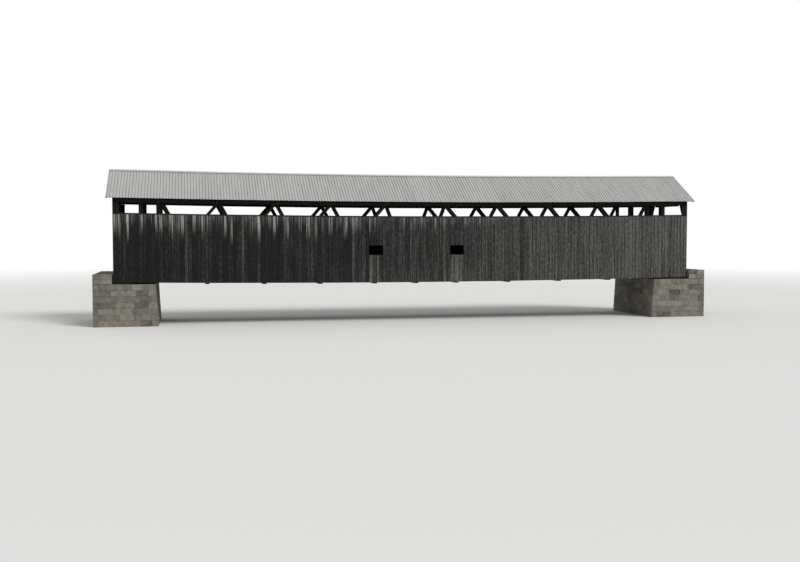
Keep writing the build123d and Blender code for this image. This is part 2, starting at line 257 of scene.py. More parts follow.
@dataclass(frozen=True)
class SawnWood:
    """Rough-sawn softwood left bare: greyed, with open grain, checks and dark knots.

    Grain of 1 to 3 mm is drawn coarser, at streak_mm, so that it shows at the bridge's scale.
    """

    name: str
    dark: str
    light: str
    knot: str
    sawn_end: str
    roughness: float = 0.86
    contrast: float = 0.8
    curve: float = 1.0
    streak_mm: Pair = (650.0, 16.0)
    streak_share: float = 0.7
    fibre_mm: Pair = (170.0, 5.0)
    blotch_mm: Pair = (1500.0, 240.0)
    check_mm: Pair = (520.0, 11.0)
    knot_cell_mm: float = 380.0
    knot_cell_width: float = 0.7
    knot_share: Pair = (0.035, 0.075)
    mottle_mm: Pair = (110.0, 70.0)
    mottle: float = 0.0
    bleached: str | None = None
    splashed: str | None = None
    wall_foot: float = 0.0
    wall_top: float = 1.0
    sag: float = 0.0
    splash_reach: float = 1.7
    run_mm: Pair = (2600.0, 95.0)
    run_share: Pair = (0.45, 0.6)
    run_least: float = 0.08
    bleach_reach: float = 1.7
    bleach_least: float = 0.3
    check_share: Pair = (0.63, 0.72)
    blotch_share: float = 0.45
    fibre_share: float = 0.4
    fibre_relief: float = 0.5
    knotless: float = 0.6

    def make(self) -> Material:
        """Build the finish.

        Returns:
            A material that reads the grain map and the tone, end and grime-and-shade attributes of a
            piece; the last darkens faces with grime and with painted shade.
        """
        material, tree = new_material(self.name)
        grain = add_node(tree, "ShaderNodeUVMap", uv_map="grain").outputs["UV"]
        streak = self._noise(tree, grain, self.streak_mm, 4.0)
        fibre = self._noise(tree, grain, self.fibre_mm, 3.0)
        blotch = self._noise(tree, grain, self.blotch_mm, 2.0)
        checks = ramp(tree, self._noise(tree, grain, self.check_mm, 2.0), *self.check_share, smooth=True)
        parts = [(streak, self.streak_share), (blotch, self.blotch_share), (fibre, self.fibre_share)]
        if self.mottle:
            parts.append((self._noise(tree, grain, self.mottle_mm, 1.0), self.mottle))
        middle = sum(share for _, share in parts) / 2
        value = layered(tree, attribute(tree, "tone"), parts)
        shade = ramp(tree, value, middle - self.contrast / 2, middle + self.contrast / 2)
        shade = combine(tree, "POWER", shade, self.curve)
        colour = self._weather(tree, grain, blend(tree, shade, self.dark, self.light))
        marks_and_shade = combine(tree, "MAXIMUM", self._knots(tree, grain), checks)
        # Faces marked with grime or with painted shade, such as the inner faces of the walls, are
        # darkened towards the knot colour
        marks_and_shade = combine(tree, "MAXIMUM", marks_and_shade, attribute(tree, "grime"), clamp=True)
        colour = blend(tree, marks_and_shade, colour, self.knot)
        colour = blend(tree, attribute(tree, "end"), colour, self.sawn_end)
        relief = combine(tree, "SUBTRACT", layered(tree, streak, [(fibre, self.fibre_relief)]), marks_and_shade)
        looks = {"Roughness": self.roughness, "Specular IOR Level": 0.25, "IOR": 1.5}
        surface(tree, colour, relief, strength=0.7, depth=0.003, looks=looks)
        return material

    def _noise(self, tree: NodeTree, grain: NodeSocket, size_mm: Pair, detail: float
               ) -> NodeSocket:
        """Noise with features of a size along and across the grain."""
        return noise(tree, scaled(tree, grain, *size_mm), detail)

    def _knots(self, tree: NodeTree, grain: NodeSocket) -> NodeSocket:
        """Round knots in some of the cells that the board is divided in.

        Args:
            tree: Node tree that gets the nodes.
            grain: Grain map.

        Returns:
            1 in a knot and 0 elsewhere.
        """
        cells = scaled(tree, grain, self.knot_cell_mm, self.knot_cell_mm * self.knot_cell_width)
        voronoi = add_node(tree, "ShaderNodeTexVoronoi", {"Vector": cells, "Scale": 1.0},
                           voronoi_dimensions="2D")
        core, edge = self.knot_share
        spot = ramp(tree, voronoi.outputs["Distance"], edge, core, smooth=True)
        pick = add_node(tree, "ShaderNodeSeparateColor", {"Color": voronoi.outputs["Color"]})
        kept = combine(tree, "GREATER_THAN", pick.outputs["Red"], self.knotless)
        return combine(tree, "MULTIPLY", spot, kept)

    def _weather(self, tree: NodeTree, grain: NodeSocket, colour: NodeSocket) -> NodeSocket:
        """Bleach boards down from their tops and lighten them at the foot, each to its own reach.

        Args:
            tree: Node tree that gets the nodes.
            grain: Grain map.
            colour: Colour of the boards.

        Returns:
            The colour with its weathering.
        """
        if self.bleached is None or self.splashed is None:
            return colour
        axes = add_node(tree, "ShaderNodeSeparateXYZ", {"Vector": object_place(tree)}).outputs
        square = combine(tree, "MULTIPLY", axes["X"], axes["X"])
        height = combine(tree, "MULTIPLY_ADD", square, -self.sag, axes["Z"])
        runs = ramp(tree, self._noise(tree, grain, self.run_mm, 2.0), *self.run_share,
                    low=self.run_least)
        bleach, splash = attribute(tree, "bleach"), attribute(tree, "splash")
        start = combine(tree, "MULTIPLY_ADD", bleach, -self.bleach_reach,
                        self.wall_top - self.bleach_least)
        reaches = (
            (self.bleached, bleach, start, self.wall_top),
            (self.splashed, splash, self.wall_foot + self.splash_reach, self.wall_foot),
        )
        for finish, amount, fades, full in reaches:
            reach = ramp(tree, height, fades, full, smooth=True)
            share = combine(tree, "MULTIPLY", combine(tree, "MULTIPLY", reach, runs), amount)
            colour = blend(tree, share, colour, finish)
        return colour


@dataclass(frozen=True)
class GalvanisedSteel:
    """Hot-dipped sheet steel gone dull: a pale zinc skin with faint spangle and run-off streaks."""

    name: str = "galvanised_sheet_steel"
    pale: str = "#bcbcba"
    dull: str = "#959593"
    # Colour of dirt and of painted shade on the faces that the roof and the ridge cap mark
    dirt: str = "#4a4845"
    metallic: float = 0.45
    roughness: float = 0.5
    spangle_mm: float = 26.0
    spangle_share: float = 0.12
    run_mm: Triple = (70.0, 1600.0, 1600.0)
    streak_share: float = 0.8
    stain_from_to: Pair = (0.62, 0.3)
    stain_share: Pair = (0.45, 0.85)

    def make(self) -> Material:
        """Build the finish.

        Returns:
            A material that reads the tone of each sheet and how far its faces are darkened with dirt and
            with painted shade.
        """
        material, tree = new_material(self.name)
        place = object_place(tree)
        spangle = add_node(tree, "ShaderNodeTexVoronoi",
                           {"Vector": place, "Scale": 1000 / self.spangle_mm})
        crystal = add_node(tree, "ShaderNodeSeparateColor", {"Color": spangle.outputs["Color"]})
        streak = noise(tree, scaled(tree, place, *self.run_mm), 3.0)
        value = layered(tree, attribute(tree, "tone"), [(streak, self.streak_share)])
        value = combine(tree, "MULTIPLY_ADD", crystal.outputs["Red"], self.spangle_share, value,
                        clamp=True)
        colour = blend(tree, value, self.dull, self.pale)
        # Painted shade, with some dirt along the ribs, streaked by the run-off noise
        stain = ramp(tree, streak, *self.stain_from_to, *self.stain_share)
        stain = combine(tree, "MULTIPLY", stain, attribute(tree, "grime"))
        looks = {"Roughness": self.roughness, "Metallic": self.metallic}
        surface(tree, blend(tree, stain, colour, self.dirt), streak, strength=0.15, depth=0.002,
                looks=looks)
        return material


@dataclass(frozen=True)
class SplitStone:
    """Local sandstone split to blocks: matt, mottled, with a rough face and patches of lichen."""

    name: str = "split_sandstone"
    dark: str = "#4b4843"
    light: str = "#8a857b"
    lichen: str = "#9a9b8c"
    roughness: float = 0.9
    grain_mm: Triple = (260.0, 45.0, 9.0)
    grain_share: Triple = (0.8, 0.35, 0.25)
    tone_from_to: Pair = (0.35, 1.05)
    lichen_from_to: Pair = (0.6, 0.68)
    lichen_share: float = 0.55
    grit_relief: float = 0.4

    def make(self) -> Material:
        """Build the finish.

        Returns:
            A material that reads the tone attribute of each block.
        """
        material, tree = new_material(self.name)
        place = object_place(tree)
        mottle, pits, grit = (noise(tree, place, 4.0, 1000 / size) for size in self.grain_mm)
        value = layered(tree, attribute(tree, "tone"), zip((mottle, pits, grit), self.grain_share))
        colour = blend(tree, ramp(tree, value, *self.tone_from_to), self.dark, self.light)
        patch = ramp(tree, pits, *self.lichen_from_to, high=self.lichen_share, smooth=True)
        looks = {"Roughness": self.roughness, "Specular IOR Level": 0.3}
        relief = layered(tree, pits, [(grit, self.grit_relief)])
        surface(tree, blend(tree, patch, colour, self.lichen), relief, strength=0.8, depth=0.012,
                looks=looks)
        return material


@dataclass(frozen=True)
class PlainFinish:
    """A plain finish with fine mottling, for lime mortar and for wrought iron."""

    name: str
    dark: str
    light: str
    roughness: float
    metallic: float
    grain_mm: float
    relief: float

    def make(self) -> Material:
        """Build the finish.

        Returns:
            The material.
        """
        material, tree = new_material(self.name)
        mottle = noise(tree, object_place(tree), 5.0, 1000 / self.grain_mm, 0.65)
        looks = {"Roughness": self.roughness, "Metallic": self.metallic}
        surface(tree, blend(tree, mottle, self.dark, self.light), mottle, strength=0.5,
                depth=self.relief, looks=looks)
        return material


@dataclass(frozen=True)
class Finishes:
    """The finishes of the bridge."""

    boards: Material
    gable: Material
    timber: Material
    planks: Material
    sheet: Material
    stone: Material
    mortar: Material
    iron: Material

    @classmethod
    def mixed(cls, wall_foot: float, wall_top: float, sag: float) -> "Finishes":
        """Make every finish.

        Args:
            wall_foot: Height of the wall boards' feet at mid span.
            wall_top: Height of the wall boards' tops at mid span.
            sag: Rise of the span from its middle, for each square metre of distance from it.

        Returns:
            The finishes, with the walls' weathering set to their heights.
        """
        wall = dict(dark="#0e0e0e", light="#5f5e5b", knot="#0c0c0b", sawn_end="#2c2a28",
                    streak_mm=(3500.0, 62.0), streak_share=1.1, curve=2.0, mottle=0.95,
                    mottle_mm=(230.0, 60.0),
                    knot_cell_mm=300.0, knot_share=(0.07, 0.15))
        return cls(
            boards=SawnWood(
                "weathered_softwood_boards", **wall, bleached="#a9a7a2", splashed="#6f6d69",
                wall_foot=wall_foot, wall_top=wall_top, sag=sag,
            ).make(),
            gable=SawnWood("weathered_gable_boards", **wall).make(),
            # The timber colours are aged wood kept very dark, partly as painted shade for the bridge's
            # shaded inside
            timber=SawnWood(
                "aged_rough_sawn_timber", dark="#100e0c", light="#2b2723", knot="#0b0a09",
                sawn_end="#1d1a17", streak_mm=(900.0, 24.0), fibre_mm=(240.0, 7.0), contrast=1.1,
            ).make(),
            planks=SawnWood(
                "worn_deck_planks", dark="#3a3631", light="#837d74", knot="#241f1b",
                sawn_end="#4a453f", contrast=1.1,
            ).make(),
            sheet=GalvanisedSteel().make(),
            stone=SplitStone().make(),
            mortar=PlainFinish(
                "lime_mortar", dark="#55524c", light="#7d796f", roughness=0.95, metallic=0.0,
                grain_mm=30.0, relief=0.004,
            ).make(),
            iron=PlainFinish(
                "rusted_wrought_iron", dark="#241a15", light="#4a352a", roughness=0.7, metallic=0.6,
                grain_mm=12.0, relief=0.001,
            ).make(),
        )


def vectors(corners: Iterable[Iterable[float]]) -> list[Vector]:
    """Turn the corners of a box into vectors."""
    return [Vector(corner) for corner in corners]


def points(name: str) -> list[Vector]:
    """Places of all the corners of a node of the frame."""
    return [vert.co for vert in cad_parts[name].data.vertices]


class Span:
    """The sag of the old span, read from the foot of the near wall."""

    def __init__(self) -> None:
        """Read the bends of the wall's foot."""
        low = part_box("near_siding")[0][2]
        reach = 0.2
        foot = {round(place.x, 4): place.z - low for place in points("near_siding")
                if place.z < low + reach}
        self.bends = sorted(foot.items())

    def lift(self, x: float) -> float:
        """Height of the span at a place above its middle.

        Args:
            x: Place along the bridge.

        Returns:
            Metres above the lowest point of the sag.
        """
        for (start, low), (end, high) in zip(self.bends, self.bends[1:]):
            if start <= x <= end:
                return low + (high - low) * (x - start) / (end - start)
        return self.bends[-1][1]

    def bend(self, verts: Sequence[BMVert]) -> None:
        """Raise level work to the curve of the span."""
        for vert in verts:
            vert.co.z += self.lift(vert.co.x)


def add_object(name: str, data: ID) -> Object:
    """Make an object and link it to the scene.

    Args:
        name: Name of the object.
        data: Its mesh, lamp or camera.

    Returns:
        The object, at the origin.
    """
    made = bpy.data.objects.new(name, data)
    bpy.context.scene.collection.objects.link(made)
    return made


def mesh_object(name: str, bm: BMesh, material: Material) -> Object:
    """Turn a mesh in the making into an object of one material.

    Args:
        name: Name of the object and of its mesh.
        bm: Mesh in the making, which is used up.
        material: Its finish.

    Returns:
        The object.
    """
    mesh = bpy.data.meshes.new(name)
    bm.to_mesh(mesh)
    bm.free()
    mesh.materials.append(material)
    return add_object(name, mesh)


def only(kind: type, items: Sequence[Any]) -> list[Any]:
    """Pick the items of one kind, such as the corners, from what an operator gives."""
    return [item for item in items if isinstance(item, kind)]


class Workpiece:
    """One object in the making, with its loose boards, blocks or timbers in a single mesh."""

    def __init__(self, name: str, seed: int) -> None:
        """Start an empty piece.

        Args:
            name: Name of the finished object.
            seed: Seed of all that varies in it.
        """
        self.name = name
        self.rng = random.Random(seed)
        self.bm = bmesh.new()

    def take(self, *names: str) -> None:
        """Take over the solids of nodes of the frame, with their corners welded."""
        for name in names:
            self.bm.from_mesh(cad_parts[name].data)
        bmesh.ops.remove_doubles(self.bm, verts=self.bm.verts, dist=WELD)

    def block(self, first: Iterable[float], second: Iterable[float]) -> list[BMVert]:
        """Add a squared block.

        Args:
            first: One of its corners.
            second: The corner opposite to that.

        Returns:
            Its corners.
        """
        pairs = list(zip(first, second))
        start, end = (Vector([pick(pair) for pair in pairs]) for pick in (min, max))
        place = Matrix.Translation((start + end) / 2) @ Matrix.Diagonal((*(end - start), 1.0))
        return bmesh.ops.create_cube(self.bm, size=1.0, matrix=place)["verts"]

    def stud(self, place: Vector, turn: Matrix, radius: float, taper: float, depth: float) -> None:
        """Add a six-sided head, such as a nail's, a screw's or a nut.

        Args:
            place: Its middle.
            turn: Turn from standing along Z.
            radius: Radius of its foot.
            taper: Radius of its top, as a share of that.
            depth: Its height.
        """
        bmesh.ops.create_cone(self.bm, cap_ends=True, segments=6, radius1=radius,
                              radius2=radius * taper, depth=depth,
                              matrix=Matrix.Translation(place) @ turn)

    def sweep(self, rows: Sequence[Sequence[Vector]], gauge: float) -> None:
        """Draw a profile through rows of its places, and give the sheet its gauge.

        Args:
            rows: Places of the profile's points, row by row.
            gauge: Thickness of the sheet.
        """
        verts = [self.bm.verts.new(place) for place in rows[0]]
        edges = [self.bm.edges.new(pair) for pair in zip(verts, verts[1:])]
        numbers = {vert: i for i, vert in enumerate(verts)}
        faces: list[BMFace] = []
        for row in rows[1:]:
            grown = bmesh.ops.extrude_edge_only(self.bm, edges=edges)["geom"]
            moved = {}
            for vert in only(BMVert, grown):
                others = (edge.other_vert(vert) for edge in vert.link_edges)
                moved[vert] = numbers[next(other for other in others if other in numbers)]
            for vert, number in moved.items():
                vert.co = row[number]
            numbers = moved
            edges = [e for e in only(BMEdge, grown) if all(v in moved for v in e.verts)]
            faces += only(BMFace, grown)
        bmesh.ops.recalc_face_normals(self.bm, faces=faces)
        bmesh.ops.solidify(self.bm, geom=faces, thickness=gauge)

    def islands(self) -> Iterator[list[BMFace]]:
        """Give the faces of each loose piece in turn.

        Returns:
            An iterator over the pieces, each a list of faces.
        """
        self.bm.faces.index_update()
        seen: set[int] = set()
        for first in self.bm.faces:
            if first.index in seen:
                continue
            seen.add(first.index)
            island = [first]
            for face in island:
                for edge in face.edges:
                    for other in edge.link_faces:
                        if other.index not in seen:
                            seen.add(other.index)
                            island.append(other)
            yield island

    def soften(self, width: float, clamp: bool = True, sharp: float = math.radians(25)) -> None:
        """Break the sharp edges.

        Args:
            width: Width of the worn edge.
            clamp: Whether short edges limit it.
            sharp: Least angle between the faces at an edge that is broken.
        """
        edges = [e for e in self.bm.edges if e.is_manifold and e.calc_face_angle() > sharp]
        bmesh.ops.bevel(
            self.bm, geom=edges, offset=width, offset_type="OFFSET", segments=1, profile=0.5,
            affect="EDGES", clamp_overlap=clamp, material=-1,
        )

    def mark(
        self,
        tone_of: Callable[[Vector], float],
        along: Vector | None = None,
        grime_of: Callable[[BMFace], float] | None = None,
        **more: Callable[[Vector], float],
    ) -> None:
        """Give each loose piece its tone, its grain map and its sawn ends.

        Args:
            tone_of: Tone, about 0, of a piece by the place of its middle.
            along: Direction of the grain, or None for the longest edge of each piece.
            grime_of: How dark a face is with grime and with painted shade, from 0 to 1.
            more: Other values of a piece by the place of its middle, named as their attributes.
        """
        layers = {name: self.bm.faces.layers.float.new(name) for name in ("tone", "end", "grime", *more)}
        grain = self.bm.loops.layers.uv.new("grain")
        for island in self.islands():
            axis = along or self._longest(island)
            centre = sum((face.calc_center_median() for face in island), Vector()) / len(island)
            values = {"tone": tone_of(centre)}
            values.update((name, value_of(centre)) for name, value_of in more.items())
            shift = Vector((self.rng.uniform(0, GRAIN_SHIFT), self.rng.uniform(0, GRAIN_SHIFT)))
            for face in island:
                sawn = abs(face.normal.dot(axis)) > FACING
                for name, value in values.items():
                    face[layers[name]] = value
                face[layers["end"]] = 1.0 if sawn else 0.0
                # Grime and painted shade of the face, from the piece's own function
                face[layers["grime"]] = grime_of(face) if grime_of else 0.0
                first = axis.orthogonal().normalized() if sawn else axis
                second = (axis if sawn else face.normal).cross(first).normalized()
                for loop in face.loops:
                    place = Vector((loop.vert.co.dot(first), loop.vert.co.dot(second)))
                    loop[grain].uv = place + shift

    def _longest(self, island: list[BMFace]) -> Vector:
        """Direction of the longest edge of a loose piece.

        Args:
            island: Faces of the piece.

        Returns:
            The direction, of length 1.
        """
        edges = (edge for face in island for edge in face.edges)
        edge = max(edges, key=lambda e: e.calc_length())
        return (edge.verts[1].co - edge.verts[0].co).normalized()

    def done(self, material: Material, slot: Slot, replaced: Sequence[str] = ()) -> None:
        """Turn the work into an object of the bridge.

        Args:
            material: Finish of the piece.
            slot: Slot of the record that the finish belongs to; not used.
            replaced: Nodes of the frame that the piece stands for.
        """
        piece = mesh_object(self.name, self.bm, material)
        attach(piece, BODY)
        if replaced:
            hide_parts(*replaced)
        LOG.info("%s: %d faces", self.name, len(piece.data.polygons))


def shares(rng: random.Random, start: float, end: float, least: float, most: float) -> list[Pair]:
    """Cut a length into random widths that fill it.

    Args:
        rng: Source of chance.
        start: Start of the length.
        end: End of the length.
        least: Least width of a share.
        most: Most width of a share.

    Returns:
        Start and end of every share in turn.
    """
    bounds = [0.0]
    while bounds[-1] < end - start - least / 2:
        bounds.append(bounds[-1] + rng.uniform(least, most))
    scale = (end - start) / bounds[-1]
    bounds = [start + bound * scale for bound in bounds]
    return list(zip(bounds, bounds[1:]))


def share_between(value: float, start: float, end: float) -> float:
    """How far a value is on the way from start to end, held between 0 and 1."""
    return max(0.0, min(1.0, (value - start) / (end - start)))


@dataclass
class BoardWall:
    """A long wall of upright boards, with two windows, and short boards over its ends.

    The short boards close the open strip at each corner. They reach past the frame's own by closer.
    """

    side: Side
    span: Span
    board_least: float = 0.17
    board_most: float = 0.3
    gap_least: float = 0.0002
    gap_most: float = 0.0006
    arris: float = 0.009
    rim: float = 0.02
    crown: float = 0.003
    ragged: float = 0.006
    foot_within: float = 0.1
    foot_least: float = 0.05
    closer: float = 0.12
    closer_gap: float = 0.002
    windows_within: Pair = (1.0, 4.5)
    nail_radius: float = 0.006
    nail_taper: float = 0.6
    nail_height: float = 0.006
    nail_reach: float = 0.3
    nail_margins: Pair = (0.05, 0.03)
    nail_strays: Pair = (0.01, 0.03)
    girt_levels: tuple[float, ...] = (0.32, 1.54, 2.5, 3.98)
    lighter_from_to: Pair = (-8.0, 13.0)
    left_tone: float = -0.26
    tone_rise: float = 0.48
    uneven: Pair = (0.1, 0.04)
    under_window_tone: Pair = (0.15, 0.29)
    # Dark tone of the short corner boards: painted shade of the eave
    closer_tone: float = -0.45
    bleached_from_to: Pair = (10.0, -8.0)
    strongly_bleached: float = 0.52
    strong_bleach: Pair = (0.5, 1.0)
    weak_bleach: Pair = (0.1, 0.4)
    splash_middle: float = 0.5
    splash_half: float = 8.0
    splash_share: Pair = (0.1, 0.5)
    cleaner_from_to: Pair = (-12.0, 12.0)
    end_tilt: float = 0.1
    rim_tilt: float = 0.05
    joint_tilt: float = 0.3
    rim_grime: Pair = (0.8, 0.25)
    joint_grime: float = 0.9

    def build(self, finishes: Finishes) -> None:
        """Make the boards and their nails.

        Args:
            finishes: Finishes of the bridge.
        """
        self._measure()
        work = Workpiece(f"{self.side.word}_wall_boards", 11 + self.side.value)
        nails = Workpiece(f"{self.side.word}_wall_nails", 21 + self.side.value)
        for start, end, foot, top in self._rows(work.rng):
            self._board(work, start, end, foot, top)
            self._nail(nails, (start + end) / 2, (end - start) * self.nail_reach, foot, top)
        work.soften(self.arris)
        work.mark(
            lambda centre: self._tone(work.rng, centre), UPRIGHT, self._grime,
            bleach=lambda centre: self._bleach(work.rng, centre),
            splash=lambda centre: self._splash(work.rng, centre),
        )
        work.done(finishes.boards, Slot.BOARDS, (f"{self.side.word}_siding", "corner_boards"))
        nails.mark(lambda centre: 0.0)
        nails.done(finishes.iron, Slot.METAL)

    def _measure(self) -> None:
        """Read the wall, its corner boards and its windows from the frame."""
        low, high = vectors(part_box(f"{self.side.word}_siding"))
        corner_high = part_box("corner_boards")[1][2]
        self.low, self.high = low, high
        self.height = high.z - low.z - self.span.lift(high.x)
        self.corner_height = corner_high - low.z - self.span.lift(high.x)
        self.corner_start = min(abs(place.x) for place in points("corner_boards"))
        start, end = self.windows_within
        windows = [place for place in points(f"{self.side.word}_siding")
                   if start < abs(place.x) < end]
        levels = [place.z - low.z - self.span.lift(place.x) for place in windows]
        self.window_inner = min(abs(place.x) for place in windows)
        self.window_outer = max(abs(place.x) for place in windows)
        self.window_low, self.window_top = min(levels), max(levels)

    def _rows(self, rng: random.Random) -> Iterator[tuple[float, float, float, float]]:
        """Start, end, foot and top of every board, along the wall.

        Args:
            rng: Source of chance.

        Returns:
            An iterator over the boards.
        """
        corner = self.corner_start - self.closer
        stops = [-self.high.x, -self.window_outer, -self.window_inner, self.window_inner,
                 self.window_outer, self.high.x]
        runs = [(start, end, 0.0, self.height) for start, end in zip(stops, stops[1:])]
        runs += [(start, end, self.height + self.closer_gap, self.corner_height)
                 for start, end in ((-self.high.x, -corner), (corner, self.high.x))]
        for i, (start, end, foot, top) in enumerate(runs):
            for left, right in shares(rng, start, end, self.board_least, self.board_most):
                gap = rng.uniform(self.gap_least, self.gap_most) / 2
                if i in (1, 3):
                    yield left + gap, right - gap, foot, self.window_low
                    yield left + gap, right - gap, self.window_top, top
                else:
                    yield left + gap, right - gap, foot, top

    def _board(self, work: Workpiece, start: float, end: float, foot: float, top: float) -> None:
        """Add one board, of its own thickness, with a worn foot if it reaches down to the foot.

        Args:
            work: Piece that it is added to.
            start: Its start along the bridge.
            end: Its end along the bridge.
            foot: Height of its foot above the wall's.
            top: Height of its top above the wall's foot.
        """
        lift = self.low.z + self.span.lift((start + end) / 2)
        back = self.low.y if self.side is Side.FAR else self.high.y
        front = back + self.side.value * (work.rng.uniform(*BOARD_THICKNESS) - self.crown)
        verts = work.block((start, back, lift + foot), (end, front, lift + top))
        work.bm.normal_update()
        face = max({face for vert in verts for face in vert.link_faces},
                   key=lambda f: f.normal.y * self.side.value)
        bmesh.ops.inset_region(work.bm, faces=[face], thickness=self.rim, depth=self.crown,
                               use_even_offset=True)
        if foot == 0.0:
            self._wear_foot(work, verts, lift)

    def _wear_foot(self, work: Workpiece, verts: list[BMVert], lift: float) -> None:
        """Break the foot of a board unevenly.

        Args:
            work: Piece that the board is in.
            verts: Corners of the board.
            lift: Height of the wall's foot there.
        """
        edges = {edge for vert in verts for edge in vert.link_edges
                 if all(v.co.z < lift + self.foot_within for v in edge.verts)
                 and abs(edge.verts[0].co.x - edge.verts[1].co.x) > self.foot_least}
        ordered = sorted(edges, key=lambda edge: edge.verts[0].co.y)
        cut = bmesh.ops.subdivide_edges(work.bm, edges=ordered, cuts=2, use_grid_fill=True)
        fresh = only(BMVert, cut["geom_inner"])
        rises: dict[int, float] = {}
        for vert in sorted(fresh, key=lambda v: (v.co.x, v.co.y)):
            key = round(vert.co.x * 1000)
            rises.setdefault(key, work.rng.uniform(0.0, self.ragged))
            vert.co.z += rises[key]

    def _nail(self, nails: Workpiece, x: float, half: float, foot: float, top: float) -> None:
        """Put two nail heads into a board at each girt.

        Args:
            nails: Piece that the nails are added to.
            x: Middle of the board.
            half: How far from it the nails are.
            foot: Height of the board's foot.
            top: Height of its top.
        """
        face = self.low.y if self.side is Side.NEAR else self.high.y
        turn = Matrix.Rotation(math.radians(90) * -self.side.value, 4, "X")
        above, below = self.nail_margins
        aside, upward = self.nail_strays
        for level in self.girt_levels:
            if not foot + above < level < top - below:
                continue
            for place in (x - half, x + half):
                spot = Vector((
                    place + nails.rng.uniform(-aside, aside), face,
                    self.low.z + self.span.lift(place) + level + nails.rng.uniform(-upward, upward),
                ))
                nails.stud(spot, turn, self.nail_radius, self.nail_taper, self.nail_height)

    def _tone(self, rng: random.Random, centre: Vector) -> float:
        """Tone of a board: lighter to the right and under a window, and dark over the corners as painted
        shade of the eave.

        Args:
            rng: Source of chance.
            centre: Middle of the board.

        Returns:
            The tone.
        """
        share = share_between(centre.x, *self.lighter_from_to)
        level = self._level(centre)
        # The short corner boards over the wall carry the eave's shadow as painted shade
        if level > self.height:
            return self.closer_tone
        window = self.window_inner < abs(centre.x) < self.window_outer and level < self.window_low
        left, right = self.under_window_tone
        under = (left if centre.x < 0 else right) if window else 0.0
        spread = self.uneven[0] + (self.uneven[1] - self.uneven[0]) * share
        return self.left_tone + self.tone_rise * share + under + rng.gauss(0.0, spread)

    def _level(self, centre: Vector) -> float:
        """Height of a place above the foot of the wall there."""
        return centre.z - self.low.z - self.span.lift(centre.x)

    def _bleach(self, rng: random.Random, centre: Vector) -> float:
        """How far a board is bleached from its top: strongly and unevenly towards the left end.

        Args:
            rng: Source of chance.
            centre: Middle of the board.

        Returns:
            The share, from 0 to 1.
        """
        share = share_between(centre.x, *self.bleached_from_to)
        strong = rng.random() < self.strongly_bleached
        if self._level(centre) > self.height:
            return 0.0
        return share * rng.uniform(*(self.strong_bleach if strong else self.weak_bleach))

    def _splash(self, rng: random.Random, centre: Vector) -> float:
        """How much a board is lightened by splashes at its foot: most in the middle of the wall."""
        share = max(0.0, 1.0 - abs(centre.x - self.splash_middle) / self.splash_half)
        return share * rng.uniform(*self.splash_share)

    def _grime(self, face: BMFace) -> float:
        """Grime along the joints, less to the right, and painted shade on the inner faces.

        Args:
            face: Face of the piece.

        Returns:
            The grime, from 0 to 1.
        """
        along, out, up = face.normal
        # Inner faces get painted shade
        if out * self.side.value < -FACING:
            return self.joint_grime
        if abs(up) > self.end_tilt or abs(along) < self.rim_tilt:
            return 0.0
        left, right = self.rim_grime
        share = share_between(face.calc_center_median().x, *self.cleaner_from_to)
        return self.joint_grime if abs(along) > self.joint_tilt else left + (right - left) * share


